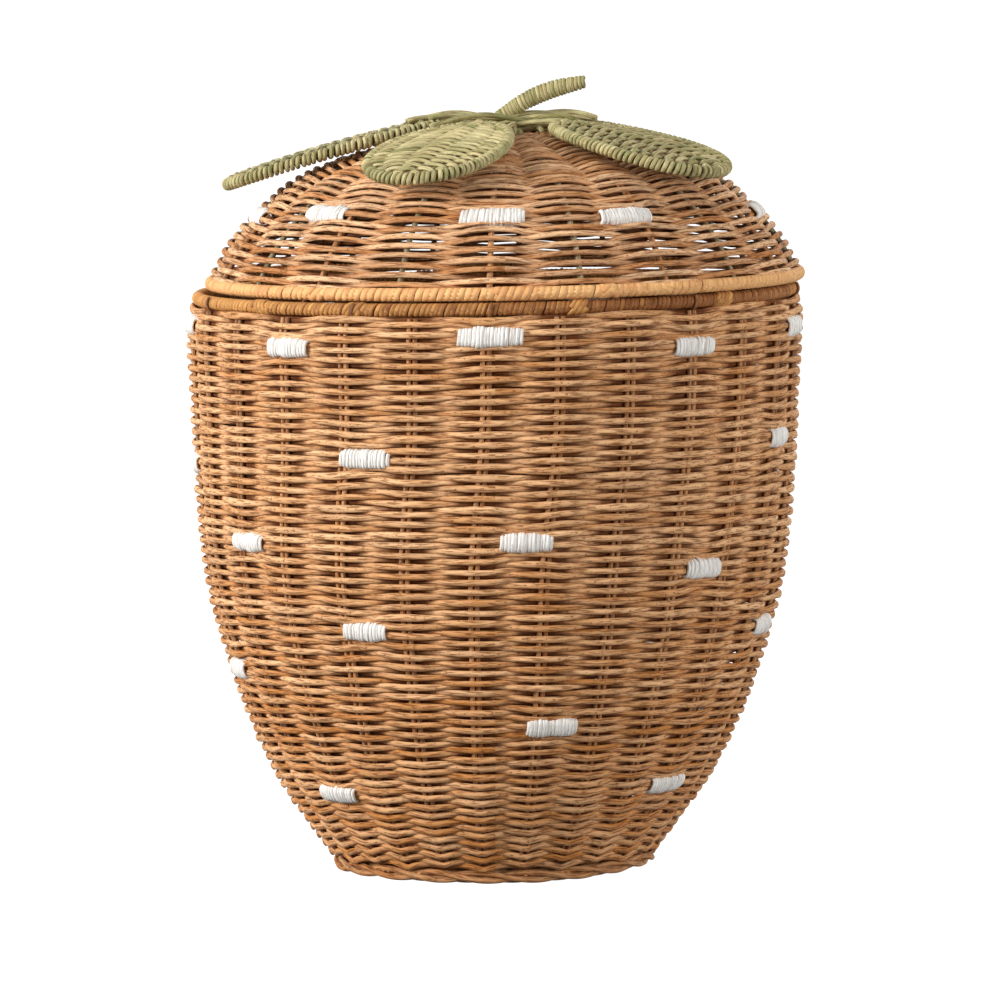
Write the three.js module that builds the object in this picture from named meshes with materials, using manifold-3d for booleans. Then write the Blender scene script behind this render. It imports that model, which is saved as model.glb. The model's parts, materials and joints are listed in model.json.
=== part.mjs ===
// A strawberry-shaped storage basket of woven rattan with a lift-off domed lid.
// All sizes are millimetres, +Z is up, the origin is the middle of the foot on the floor.
import * as THREE from 'three';
import { mergeVertices } from 'three/addons/utils/BufferGeometryUtils.js';
import Module from 'manifold-3d';

const wasm = await Module();
wasm.setup();

// Clearances between pieces that touch.
const seatGap = 0.3;
const lidSeatGap = 0.4;

// Basket wall.
const wallRadius = 190.5;
const wallHeight = 342.6;
const weaveThickness = 4.2;
const weaveRelief = 2.2;
const wallRows = 22;
const stakeCount = 26;
const stakeWidth = 6.8;
const stakeThickness = 2.8;
const stakePhaseDegrees = -1.7;

// Foot and base.
const footHeight = 8;
const footInset = 2;
const footWidth = 14.7;
const footFlatWidth = 7;
const baseThickness = 6;
const spokeHubRadius = 30;

// Rim hoops, each a cane wrapped in flat peel.
const rimInset = 6;
const rimWrapRadius = 4.3;
const peelThickness = 1;
const peelSlotDegrees = 50;
const lidRimInset = 2;
const lidOverhang = 2.1;

// Lid.
const lidWallHeight = 88.9;
const lidSetOff = 6;
const lidRows = 14;
const ribCount = 20;
const ribWidth = 4;
const ribThickness = 3;
const ribPhaseDegrees = -3;
const ribHubRadius = 16;

// Leaves, crown and stem.
const leafLength = 150;
const leafWidth = 88;
const leafRootRadius = 28;
const leafRodRadius = 4;
const leafWebThickness = 5;
const leafTaperShare = 0.2;
const crownHeight = 2.5;
const stemWrapTurns = 24;
const stemStrandWidth = 1.7;
const stemStrandRise = 0.85;
const stemStrandFoot = 0.45;

// White seed windings, each round two rows of the weave.
const seedLength = 32;
const seedHeight = 11.5;
const seedTurns = 7;
const seedStrandWidth = 2.8;
const seedStrandRise = 0.85;
const seedStrandFoot = 0.45;
const seedRunGap = 0.5;
const seedSinkShare = 0.65;

// Outlines as shares of the largest radius and of the height, from the bottom up.
const wallShares = [
  [0.5407, 0], [0.7165, 0.145], [0.861, 0.3348],
  [0.9554, 0.5596], [1, 0.9536], [0.9895, 1],
];
const lidShares = [
  [1, 0], [0.9365, 0.2295], [0.835, 0.4657], [0.6955, 0.6907],
  [0.482, 0.848], [0.2464, 0.955], [0, 1],
];

// Leaf name, direction from +X, and how steeply it slopes down.
const leafDegrees = [
  ['right', -37, 10.5],
  ['front_left', -112, 11],
  ['left', 179, 14.5],
  ['back_left', 108, 12],
  ['back_right', 35, 12],
];

// Seed places: degrees from the front, positive to the right, and a share of the wall's height.
const bodySeedShares = [
  [-85, 0.962], [-43, 0.939], [-1, 0.965], [41, 0.942], [78, 0.962],
  [118, 0.942], [161, 0.962], [-163, 0.939], [-124, 0.963],
  [-88, 0.711], [-26, 0.746], [71, 0.767], [128, 0.735], [-145, 0.73],
  [-58, 0.586], [6, 0.603], [46, 0.545], [172, 0.58],
  [-28, 0.44], [75, 0.425], [-77, 0.346], [-160, 0.38],
  [13, 0.268], [112, 0.24], [-48, 0.133], [53, 0.151], [-122, 0.17],
];
const lidSeedShares = [
  [-90, 0.46], [-47, 0.46], [-3, 0.46], [30, 0.46],
  [90, 0.46], [135, 0.46], [180, 0.46], [-135, 0.46],
];

// Spots under a seed where the weave's depth is taken, as shares of its length and height.
const seedSpotShares = [-0.5, -0.3, -0.1, 0.1, 0.3, 0.5].flatMap(
  (along) => [-0.5, -0.25, 0, 0.25, 0.5].map((across) => [along, across]),
);

// Stem centre line from its foot to its tip, as plan offset and height over the crown's top.
const stemRadiusStart = 3.75;
const stemFootSink = 1;
const stemFoot = [-4, stemRadiusStart - stemFootSink];
const stemBend = [14, 13.2];
const stemRise = [30, 20.2];
const stemTip = [49, 25.2];
const stemRadiusMiddle = 5;
const stemRadiusEnd = 4;

// Facet counts.
const wallFacets = 2 * stakeCount;
const lidFacets = 2 * ribCount;
const rimFacets = 32;
const wrapArcSteps = 6;
const hoopSides = 5;
const leafSteps = 16;
const leafRodSides = 6;
const stemSteps = 10;
const stemCoreSides = 6;
const stemLoopSteps = 6;
const footArcSteps = 3;

// Heights and radii that follow.
const degree = Math.PI / 180;
const wallFootZ = footHeight + seatGap;
const wallTopZ = wallFootZ + wallHeight;
const bodyRimZ = wallTopZ + seatGap + rimWrapRadius;
const lidRimZ = bodyRimZ + 2 * rimWrapRadius + lidSeatGap;
const footRadius = wallRadius * wallShares[0][0] - footInset;
const rimRadius = wallRadius * wallShares.at(-1)[0] - rimInset;
const lidRimRadius = rimRadius - lidRimInset;
const lidWallRadius = lidRimRadius + lidOverhang;
const lidFootZ = lidRimZ + rimWrapRadius + seatGap;
const crownTopZ = lidFootZ + lidWallHeight;
const crownRadius = leafRootRadius - leafRodRadius - seatGap;
const crownPatchTopZ = crownTopZ + seatGap + crownHeight;

const paint = {
  weave: new THREE.MeshStandardMaterial({ color: 0xb98a62, roughness: 0.75, metalness: 0 }),
  stake: new THREE.MeshStandardMaterial({ color: 0x8a5d3a, roughness: 0.8, metalness: 0 }),
  peel: new THREE.MeshStandardMaterial({ color: 0xd9a469, roughness: 0.55, metalness: 0 }),
  green: new THREE.MeshStandardMaterial({ color: 0xb4ab78, roughness: 0.75, metalness: 0 }),
  white: new THREE.MeshStandardMaterial({ color: 0xf2ece4, roughness: 0.9, metalness: 0 }),
};

// Leaves a geometry with positions only, shared vertices merged and its faces pointing out.
function closedBody(source) {
  const bare = source.index ? source.toNonIndexed() : source.clone();
  for (const name of Object.keys(bare.attributes)) {
    if (name !== 'position') {
      bare.deleteAttribute(name);
    }
  }
  const merged = mergeVertices(bare);
  const place = merged.attributes.position;
  const corner = [new THREE.Vector3(), new THREE.Vector3(), new THREE.Vector3()];
  const kept = [];
  let volume = 0;
  for (let i = 0; i < merged.index.count; i += 3) {
    const face = [0, 1, 2].map((k) => merged.index.getX(i + k));
    if (new Set(face).size === 3) {
      face.forEach((vertex, k) => corner[k].fromBufferAttribute(place, vertex));
      volume += corner[0].dot(corner[1].clone().cross(corner[2]));
      kept.push(face);
    }
  }
  const order = volume < 0 ? kept.map(([a, b, c]) => [a, c, b]) : kept;
  merged.setIndex(order.flat());
  return merged;
}

function toSolid(geometry) {
  const body = closedBody(geometry);
  const vertProperties = new Float32Array(body.attributes.position.array);
  const triVerts = new Uint32Array(body.index.array);
  return new wasm.Manifold(new wasm.Mesh({ numProp: 3, vertProperties, triVerts }));
}

function fromSolid(solid) {
  const mesh = solid.getMesh();
  const geometry = new THREE.BufferGeometry();
  geometry.setAttribute('position', new THREE.BufferAttribute(mesh.vertProperties, 3));
  geometry.setIndex(Array.from(mesh.triVerts));
  return geometry;
}

function named(name, geometry, material) {
  const mesh = new THREE.Mesh(closedBody(geometry), material);
  mesh.name = name;
  return mesh;
}

// Turns an outline of (radius, height) points round the Z axis.
function turned(outline, facets, turnDegrees = 0) {
  const lathe = new THREE.LatheGeometry(outline, facets, turnDegrees * degree);
  return lathe.rotateX(Math.PI / 2);
}

function spunProfile(shares, radius, footZ, height) {
  return shares.map(([r, h]) => new THREE.Vector2(r * radius, footZ + h * height));
}

// A smooth outline through the points, with a point for each row of the weave and one at each end.
function rounded(points, rows) {
  return new THREE.SplineCurve(points).getSpacedPoints(rows + 1);
}

// Moves an outline inward, square to itself, with its ends kept at their own height or on the axis.
function offsetInward(points, distance) {
  const last = points.length - 1;
  return points.map((point, i) => {
    const along = points[Math.min(i + 1, last)].clone().sub(points[Math.max(i - 1, 0)]).normalize();
    if (i === last && point.x === 0) {
      return new THREE.Vector2(0, point.y - distance);
    }
    if (i === 0 || i === last) {
      return new THREE.Vector2(point.x - distance / along.y, point.y);
    }
    return new THREE.Vector2(point.x - distance * along.y, point.y + distance * along.x);
  });
}

// The outline's point at a height, with its upward and outward directions in (radius, height).
function surfaceAt(points, height) {
  const i = points.findIndex((point, k) => k > 0 && point.y >= height);
  const [low, high] = [points[i - 1], points[i]];
  const share = (height - low.y) / (high.y - low.y);
  const up = high.clone().sub(low).normalize();
  return { place: low.clone().lerp(high, share), up, out: new THREE.Vector2(up.y, -up.x) };
}

// The height of a dome's outline at a radius.
function heightAt(points, radius) {
  const i = points.findIndex((point, k) => k > 0 && point.x <= radius);
  const [low, high] = [points[Math.max(i, 1) - 1], points[Math.max(i, 1)]];
  return low.y + (high.y - low.y) * (low.x - radius) / (low.x - high.x);
}

// Place at a radius, at degrees from the front and at a height.
function around(radius, turnRadians, height) {
  return new THREE.Vector3(radius * Math.sin(turnRadians), -radius * Math.cos(turnRadians), height);
}

// Skins rings of points into one solid with closed ends.
function skinned(rings) {
  const sides = rings[0].length;
  const positions = rings.flat().flatMap((point) => [point.x, point.y, point.z]);
  const faces = [];
  for (let i = 0; i < rings.length - 1; i += 1) {
    for (let j = 0; j < sides; j += 1) {
      const [a, b] = [i * sides + j, i * sides + (j + 1) % sides];
      faces.push(a, b, a + sides, b, b + sides, a + sides);
    }
  }
  const end = (rings.length - 1) * sides;
  for (let j = 1; j < sides - 1; j += 1) {
    faces.push(0, j + 1, j, end, end + j, end + j + 1);
  }
  const geometry = new THREE.BufferGeometry();
  geometry.setAttribute('position', new THREE.Float32BufferAttribute(positions, 3));
  geometry.setIndex(faces);
  return geometry;
}

// The least distance between a winding's runs that don't meet, on points spread over its faces.
function leastGap(rings, apart) {
  const spots = rings.slice(1).map((ring, i) => {
    const before = rings[i];
    return [0.25, 0.5, 0.75].flatMap((share) => ring.flatMap((point, j) => {
      const here = before[j].clone().lerp(point, share);
      const k = (j + 1) % ring.length;
      const next = before[k].clone().lerp(ring[k], share);
      return [here, here.clone().lerp(next, 0.5)];
    }));
  });
  let least = Infinity;
  for (let i = 0; i < spots.length; i += 1) {
    for (let k = i + apart; k < Math.min(spots.length, i + 12); k += 1) {
      for (const a of spots[i]) {
        for (const b of spots[k]) {
          least = Math.min(least, a.distanceTo(b));
        }
      }
    }
  }
  return least;
}

// A strip bent along one outline, as thick as the two outlines are apart, turned to its place.
function strip(outline, width, turnDegrees) {
  const shape = new THREE.Shape(outline);
  const geometry = new THREE.ExtrudeGeometry(shape, { depth: width, bevelEnabled: false, steps: 1 });
  geometry.translate(0, 0, -width / 2);
  geometry.rotateX(Math.PI / 2);
  return geometry.rotateZ(turnDegrees * degree - Math.PI / 2);
}

function narrowed(points, facets) {
  const share = Math.cos(Math.PI / facets);
  return points.map((point) => new THREE.Vector2(point.x * share, point.y));
}

function shellOutline(outer, inner) {
  return [...outer, ...inner.slice().reverse(), outer[0]];
}

const wallControls = spunProfile(wallShares, wallRadius, wallFootZ, wallHeight);
const wallOuter = rounded(wallControls, wallRows);
const lidControls = spunProfile(lidShares, lidWallRadius, lidFootZ, lidWallHeight);
const lidOuter = rounded(lidControls, lidRows);
const wallTurn = stakePhaseDegrees - 180 / wallFacets;

// How deep the weave lies under its outline at row i, on a stake where k is even and else between two.
// Each row lies in front of every second stake and behind the others, and the row over it the other
// way round. A row here stands for three or four real ones.
function weaveDepth(i, k, rows) {
  if (i < 1 || i > rows) {
    return 0;
  }
  const front = k % 2 === 0 ? (-1) ** (i + k / 2) : 0;
  return weaveRelief * (1 - front) / 2;
}

// A woven skin turned round the Z axis.
function woven(outer, controls, stakes, phaseDegrees) {
  const outline = [...outer, ...offsetInward(controls, weaveThickness).reverse()];
  const facets = 2 * stakes;
  const last = outline.length - 1;
  const spot = (i, k) => {
    const depth = weaveDepth(i, k, outer.length - 2);
    const along = outline[Math.min(i + 1, last)].clone().sub(outline[Math.max(i - 1, 0)]).normalize();
    const turn = (phaseDegrees + k * 360 / facets) * degree;
    return around(outline[i].x - depth * along.y, turn, outline[i].y + depth * along.x);
  };
  const positions = [];
  for (let i = 0; i < outline.length; i += 1) {
    for (let k = 0; k < facets; k += 1) {
      const [ahead, beside] = [(i + 1) % outline.length, (k + 1) % facets];
      const [a, b, c, d] = [spot(i, k), spot(i, beside), spot(ahead, beside), spot(ahead, k)];
      positions.push(a, b, c, a, c, d);
    }
  }
  return new THREE.BufferGeometry().setFromPoints(positions);
}

// The side's woven wall, open at the top and the bottom.
function sideWeave() {
  return woven(wallOuter, wallControls, stakeCount, stakePhaseDegrees);
}

// The foot's plaited border, flat where it stands.
function footBorder() {
  const inner = footRadius - footWidth;
  const corner = new THREE.Vector2(footRadius, footHeight);
  const flatEnd = inner + footFlatWidth;
  const belly = new THREE.QuadraticBezierCurve(
    new THREE.Vector2(flatEnd, 0),
    new THREE.Vector2(footRadius, 0),
    corner,
  );
  const start = new THREE.Vector2(inner, 0);
  const outline = [start, ...belly.getPoints(footArcSteps), new THREE.Vector2(inner, footHeight), start];
  return turned(outline, wallFacets, wallTurn);
}

// The round woven base, inside the foot's border.
function baseWeave() {
  const radius = footRadius - footWidth - seatGap;
  const low = footHeight - baseThickness;
  const outline = [[0, low], [radius, low], [radius, footHeight], [0, footHeight]];
  return turned(outline.map(([r, z]) => new THREE.Vector2(r, z)), wallFacets, wallTurn);
}

// Base spokes that cross in the middle and turn up as the wall's paired stakes.
function stakeCage() {
  const depth = weaveThickness + seatGap;
  const outer = narrowed(offsetInward(wallControls, depth), wallFacets);
  const inner = narrowed(offsetInward(wallControls, depth + stakeThickness), wallFacets);
  const spokeTop = wallFootZ + stakeThickness;
  const bend = surfaceAt(inner, spokeTop).place;
  const start = spokeHubRadius - stakeWidth / 2;
  const outline = [
    new THREE.Vector2(start, wallFootZ),
    ...outer,
    ...inner.slice(1).reverse(),
    bend,
    new THREE.Vector2(start, spokeTop),
  ];
  const hub = new THREE.CylinderGeometry(spokeHubRadius, spokeHubRadius, stakeThickness, stakeCount);
  hub.rotateX(Math.PI / 2);
  hub.rotateZ((stakePhaseDegrees - 180 / stakeCount) * degree);
  hub.translate(0, 0, wallFootZ + stakeThickness / 2);
  let cage = toSolid(hub);
  for (let i = 0; i < stakeCount; i += 1) {
    const turn = stakePhaseDegrees + i * 360 / stakeCount;
    cage = cage.add(toSolid(strip(outline, stakeWidth, turn)));
  }
  return fromSolid(cage);
}

// The lid's woven dome.
function lidWeave() {
  return woven(lidOuter, lidControls, ribCount, ribPhaseDegrees);
}

// The lid's ribs, which meet under the crown.
function lidRibs() {
  const depth = weaveThickness + seatGap;
  const outer = narrowed(offsetInward(lidControls, depth), lidFacets).slice(0, -1);
  const inner = narrowed(offsetInward(lidControls, depth + ribThickness), lidFacets).slice(0, -1);
  const top = offsetInward(lidControls, depth);
  const start = ribHubRadius - ribWidth;
  const hubTop = heightAt(top, ribHubRadius);
  const outline = [
    ...outer,
    new THREE.Vector2(start, heightAt(top, start)),
    new THREE.Vector2(start, heightAt(top, start) - ribThickness),
    ...inner.slice().reverse(),
  ];
  const hub = new THREE.CylinderGeometry(ribHubRadius, ribHubRadius, ribThickness, ribCount);
  hub.rotateX(Math.PI / 2);
  hub.rotateZ((ribPhaseDegrees - 180 / ribCount) * degree);
  hub.translate(0, 0, hubTop - ribThickness / 2);
  let cage = toSolid(hub);
  for (let i = 0; i < ribCount; i += 1) {
    cage = cage.add(toSolid(strip(outline, ribWidth, ribPhaseDegrees + i * 360 / ribCount)));
  }
  return fromSolid(cage);
}

// A rim's inner cane.
function rimHoop(radius, height) {
  const halfStep = (360 - peelSlotDegrees) / wrapArcSteps / 2 * degree;
  const hoopRadius = (rimWrapRadius - peelThickness) * Math.cos(halfStep) - seatGap;
  const outline = [];
  for (let i = 0; i <= hoopSides; i += 1) {
    const turn = i * 360 / hoopSides * degree;
    const point = new THREE.Vector2(radius + hoopRadius * Math.cos(turn), height + hoopRadius * Math.sin(turn));
    outline.push(point);
  }
  outline[hoopSides] = outline[0];
  return turned(outline, rimFacets);
}

// A rim's wrapped peel, open in a slot where the wall's ends come in, at slotTurn degrees.
function rimWrap(radius, height, slotTurn) {
  const arc = (wrapRadius) => {
    const points = [];
    for (let i = 0; i <= wrapArcSteps; i += 1) {
      const sweep = (360 - peelSlotDegrees) * i / wrapArcSteps;
      const turn = (slotTurn + peelSlotDegrees / 2 + sweep) * degree;
      points.push(new THREE.Vector2(
        radius + wrapRadius * Math.cos(turn),
        height + wrapRadius * Math.sin(turn),
      ));
    }
    return points;
  };
  const outer = arc(rimWrapRadius);
  return turned(shellOutline(outer, arc(rimWrapRadius - peelThickness)), rimFacets);
}

// A leaf's rod line in its own plane: egg-shaped and narrow at the root, which is near x = 0.
function leafLine() {
  const [long, wide] = [leafLength / 2 - leafRodRadius, leafWidth / 2 - leafRodRadius];
  const points = [];
  for (let i = 0; i < leafSteps; i += 1) {
    const turn = 2 * Math.PI * i / leafSteps;
    const swell = 1 + leafTaperShare * Math.cos(turn);
    points.push(new THREE.Vector3(leafLength / 2 + long * Math.cos(turn), wide * Math.sin(turn) * swell, 0));
  }
  return new THREE.CatmullRomCurve3(points, true);
}

// The rod line's own facets, moved inward by an inset.
function leafOutline(inset) {
  const points = leafLine().getSpacedPoints(leafSteps).slice(0, leafSteps);
  return points.map((point, i) => {
    const along = points[(i + 1) % leafSteps].clone().sub(points[(i + leafSteps - 1) % leafSteps]).normalize();
    return new THREE.Vector2(point.x - inset * along.y, point.y + inset * along.x);
  });
}

function leafFrame() {
  return new THREE.TubeGeometry(leafLine(), leafSteps, leafRodRadius, leafRodSides, true);
}

function leafWeb() {
  const shape = new THREE.Shape(leafOutline(leafRodRadius + 2 * seatGap));
  const web = new THREE.ExtrudeGeometry(shape, { depth: leafWebThickness, bevelEnabled: false, steps: 1 });
  return web.translate(0, 0, -leafWebThickness / 2);
}

// The root height at which a leaf of this slope just rests on the dome.
function leafSeatZ(slope) {
  const rods = leafOutline(0).map((point) => [point, leafRodRadius]);
  const webs = leafOutline(leafRodRadius + seatGap).map((point) => [point, leafWebThickness / 2]);
  const middle = webs.map(([point, half]) => [new THREE.Vector2(point.x, 0), half]);
  const heights = [...rods, ...webs, ...middle].map(([point, half]) => {
    const reach = leafRootRadius - leafRodRadius + point.x * Math.cos(slope);
    const radius = Math.min(Math.hypot(reach, point.y), lidWallRadius);
    return heightAt(lidOuter, radius) + seatGap + half + point.x * Math.sin(slope);
  });
  return Math.max(...heights);
}

function leafGroup(name, direction, slopeDegrees) {
  const slope = slopeDegrees * degree;
  const tilt = new THREE.Group();
  tilt.position.set(leafRootRadius - leafRodRadius, 0, leafSeatZ(slope));
  tilt.rotation.y = slope;
  tilt.add(named(`leaf_frame_${name}`, leafFrame(), paint.green));
  tilt.add(named(`leaf_web_${name}`, leafWeb(), paint.green));
  const turn = new THREE.Group();
  turn.rotation.z = direction * degree;
  turn.add(tilt);
  return turn;
}

// The green patch that ties the leaves' roots together.
function crownPatch() {
  const patch = new THREE.CylinderGeometry(crownRadius, crownRadius, crownHeight, ribCount);
  patch.rotateX(Math.PI / 2);
  return patch.translate(0, 0, crownTopZ + seatGap + crownHeight / 2);
}

const stemLine = new THREE.CatmullRomCurve3(
  [stemFoot, stemBend, stemRise, stemTip].map(([x, z]) => new THREE.Vector3(x, 0, crownPatchTopZ + z)),
);

function stemRadius(share) {
  const bulge = 4 * share * (1 - share);
  const straight = stemRadiusStart + (stemRadiusEnd - stemRadiusStart) * share;
  return straight + (stemRadiusMiddle - (stemRadiusStart + stemRadiusEnd) / 2) * bulge;
}

// A point beside the stem's line, at a distance and a turn round it.
function besideStem(share, distance, turn) {
  const centre = stemLine.getPointAt(share);
  const along = stemLine.getTangentAt(share);
  const side = new THREE.Vector3(0, 1, 0);
  const up = along.clone().cross(side).negate();
  return centre.addScaledVector(side, distance * Math.cos(turn)).addScaledVector(up, distance * Math.sin(turn));
}

function stemCore() {
  const chordShare = Math.cos(Math.PI / stemLoopSteps);
  const rings = [];
  for (let i = 0; i <= stemSteps; i += 1) {
    const share = i / stemSteps;
    const wound = stemRadius(share) - stemStrandRise - stemStrandFoot;
    const radius = wound * chordShare - seatGap;
    const ring = [];
    for (let j = 0; j < stemCoreSides; j += 1) {
      ring.push(besideStem(share, radius, 2 * Math.PI * j / stemCoreSides));
    }
    rings.push(ring);
  }
  return skinned(rings);
}

// The stem's wrapping: one strand wound round the cane from foot to tip.
function stemWrap() {
  const steps = stemWrapTurns * stemLoopSteps;
  const half = stemStrandWidth / 2 / stemLine.getLength();
  const rings = [];
  for (let i = 0; i <= steps; i += 1) {
    const share = half + (1 - 2 * half) * i / steps;
    const turn = 2 * Math.PI * i / stemLoopSteps;
    const radius = stemRadius(share) - stemStrandRise;
    rings.push([
      besideStem(share - half, radius - stemStrandFoot, turn),
      besideStem(share + half, radius - stemStrandFoot, turn),
      besideStem(share, radius + stemStrandRise, turn),
    ]);
  }
  console.log(`stem wrapping: least gap to itself ${leastGap(rings, 3).toFixed(2)} mm`);
  return skinned(rings);
}

// How far a seed sinks into the weave: a share of the least depth that the weave has under it.
function seedSink(outline, stakes, phaseDegrees, turnDegrees, height) {
  const { place, up } = surfaceAt(outline, height);
  const depths = [];
  for (const [along, across] of seedSpotShares) {
    const turn = turnDegrees + along * seedLength / place.x / degree;
    const column = (turn - phaseDegrees) * stakes / 180;
    const level = place.y + across * seedHeight * up.y;
    const i = outline.findIndex((point, n) => n > 0 && point.y >= level) - 1;
    const [row, k] = [(level - outline[i].y) / (outline[i + 1].y - outline[i].y), Math.floor(column)];
    const [below, over] = [i, i + 1].map((n) => {
      const start = weaveDepth(n, k, outline.length - 2);
      return start + (weaveDepth(n, k + 1, outline.length - 2) - start) * (column - k);
    });
    depths.push(below + (over - below) * row);
  }
  return seedSinkShare * Math.min(...depths);
}

// A seed: one flat strand wound round and round, lying on the weave's outer face.
function seedWinding(outline, sink, turnDegrees, height) {
  const { place, up, out } = surfaceAt(outline, height);
  place.addScaledVector(out, -sink);
  const pitch = (seedLength - seedStrandWidth) / seedTurns;
  const innerOut = seatGap + seedStrandRise;
  const outerOut = innerOut + 2 * seedStrandFoot + seedRunGap;
  const reach = seedHeight / 2 - seedStrandRise;
  const corners = [[1, 1], [-1, 1], [-1, -1], [1, -1]];
  const rings = [];
  for (let k = 0; k <= seedTurns * corners.length; k += 1) {
    const [upSide, outSide] = corners[k % corners.length];
    const along = pitch * (k / corners.length - seedTurns / 2);
    const spot = (slide, rise) => {
      const across = upSide * (reach + rise);
      const away = (outSide > 0 ? outerOut : innerOut) + outSide * rise;
      const point = place.clone().addScaledVector(up, across).addScaledVector(out, away);
      return around(point.x, turnDegrees * degree + (along + slide) / place.x, point.y);
    };
    rings.push([
      spot(-seedStrandWidth / 2, -seedStrandFoot),
      spot(seedStrandWidth / 2, -seedStrandFoot),
      spot(0, seedStrandRise),
    ]);
  }
  return rings;
}

function seeds(group, name, outline, stakes, phaseDegrees, shares) {
  const [foot, top] = [outline[0].y, outline.at(-1).y];
  const gaps = shares.map(([turn, share], i) => {
    const level = foot + share * (top - foot);
    const sink = seedSink(outline, stakes, phaseDegrees, turn, level);
    const rings = seedWinding(outline, sink, turn, level);
    const number = String(i + 1).padStart(2, '0');
    group.add(named(`${name}_${number}`, skinned(rings), paint.white));
    return leastGap(rings, 2);
  });
  console.log(`${name}: least gap of a winding to itself ${Math.min(...gaps).toFixed(2)} mm`);
}

const basket = new THREE.Group();
basket.add(named('base_weave', baseWeave(), paint.weave));
basket.add(named('foot_border', footBorder(), paint.weave));
basket.add(named('side_weave', sideWeave(), paint.weave));
basket.add(named('stake_cage', stakeCage(), paint.stake));
basket.add(named('body_rim_hoop', rimHoop(rimRadius, bodyRimZ), paint.stake));
basket.add(named('body_rim_wrap', rimWrap(rimRadius, bodyRimZ, -90), paint.peel));
seeds(basket, 'body_seed', wallOuter, stakeCount, stakePhaseDegrees, bodySeedShares);

const lid = new THREE.Group();
lid.position.x = lidSetOff;
lid.add(named('lid_weave', lidWeave(), paint.weave));
lid.add(named('lid_ribs', lidRibs(), paint.stake));
lid.add(named('lid_rim_hoop', rimHoop(lidRimRadius, lidRimZ), paint.stake));
lid.add(named('lid_rim_wrap', rimWrap(lidRimRadius, lidRimZ, 90), paint.peel));
lid.add(named('crown_patch', crownPatch(), paint.green));
lid.add(named('stem_cane', stemCore(), paint.green));
lid.add(named('stem_wrap', stemWrap(), paint.green));
for (const [name, direction, slope] of leafDegrees) {
  lid.add(leafGroup(name, direction, slope));
}
seeds(lid, 'lid_seed', lidOuter, ribCount, ribPhaseDegrees, lidSeedShares);

const part = new THREE.Group();
part.add(basket, lid);

export default part;
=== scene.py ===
# %% [markdown]
# # A strawberry-shaped storage basket, woven from rattan
# The side is woven over pairs of upright stakes, and a domed lid with green leaves and a stem rests on
# the wrapped rim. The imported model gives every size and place. The weave could be a picture on a smooth
# wall, but that has no gaps and no rough edge, so each strand is a tube that runs over and under its
# stakes.

# %% Load the frame
import json

import bpy
import numpy as np
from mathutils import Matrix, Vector

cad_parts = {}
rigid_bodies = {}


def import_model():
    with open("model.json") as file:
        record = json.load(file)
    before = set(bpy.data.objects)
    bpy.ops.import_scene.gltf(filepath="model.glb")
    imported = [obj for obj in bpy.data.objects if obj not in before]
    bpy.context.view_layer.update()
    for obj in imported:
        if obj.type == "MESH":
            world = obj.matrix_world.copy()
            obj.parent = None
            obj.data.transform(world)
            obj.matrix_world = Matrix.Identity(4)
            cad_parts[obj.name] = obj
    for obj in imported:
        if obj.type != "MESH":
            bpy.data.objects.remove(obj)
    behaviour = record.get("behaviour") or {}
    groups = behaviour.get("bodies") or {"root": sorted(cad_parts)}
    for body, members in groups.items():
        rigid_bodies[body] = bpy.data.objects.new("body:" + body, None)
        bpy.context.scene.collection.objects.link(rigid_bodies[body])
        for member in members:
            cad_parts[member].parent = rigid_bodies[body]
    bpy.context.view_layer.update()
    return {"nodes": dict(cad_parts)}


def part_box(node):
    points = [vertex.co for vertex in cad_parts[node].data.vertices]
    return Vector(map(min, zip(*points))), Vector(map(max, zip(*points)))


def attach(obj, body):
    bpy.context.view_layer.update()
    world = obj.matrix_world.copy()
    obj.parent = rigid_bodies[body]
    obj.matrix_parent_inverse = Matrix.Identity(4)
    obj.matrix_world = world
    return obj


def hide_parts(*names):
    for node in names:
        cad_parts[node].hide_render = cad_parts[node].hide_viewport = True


for leftover in list(bpy.data.objects):
    bpy.data.objects.remove(leftover)

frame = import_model()
MM = 0.001
TURN = 2 * np.pi
UP = np.array([0.0, 0.0, 1.0])

# %% [markdown]
# ## The camera
# The photograph was taken from far away, a little above the rim, so its rows look almost straight.
# A wide lens near by would bend them, so a long lens looks from 6.5 m. The lens follows from VIEW_WIDTH,
# the metres that the picture takes in at the basket.

# %% Camera
EYE = Vector((0.003, -6.5, 0.723))
AIM = Vector((0.003, 0.0, 0.227))
VIEW_WIDTH = 0.617


def aimed(name, data, eye, aim):
    """A camera or a lamp at eye, turned to aim."""
    made = bpy.data.objects.new(name, data)
    bpy.context.scene.collection.objects.link(made)
    made.location = eye
    made.rotation_mode = "QUATERNION"
    made.rotation_quaternion = (aim - eye).to_track_quat("-Z", "Y")
    return made


camera = bpy.data.cameras.new("camera")
camera.sensor_width = 36.0
camera.lens = camera.sensor_width * (AIM - EYE).length / VIEW_WIDTH
bpy.context.scene.camera = aimed("camera", camera, EYE, AIM)
bpy.context.scene.view_settings.view_transform = "Standard"
print("lens", round(camera.lens), "mm")


# %% [markdown]
# ## One tool for every strand
# Rattan, peel and paper cord are all strands: a section carried along a path of points. Curve objects
# would twist the section as they like. Here it leans on a given direction, such as the wall's outward
# normal, and many strands are made at once, as rows of one array.

# %% Sweep a section along paths
def unit(vectors):
    """Each vector divided by its length."""
    return vectors / np.maximum(np.linalg.norm(vectors, axis=-1, keepdims=True), 1e-12)


def tangents(paths, closed):
    """Direction of travel at each point: the next point less the one before."""
    if closed:
        return unit(np.roll(paths, -1, axis=-2) - np.roll(paths, 1, axis=-2))
    return unit(np.gradient(paths, axis=-2))


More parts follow.
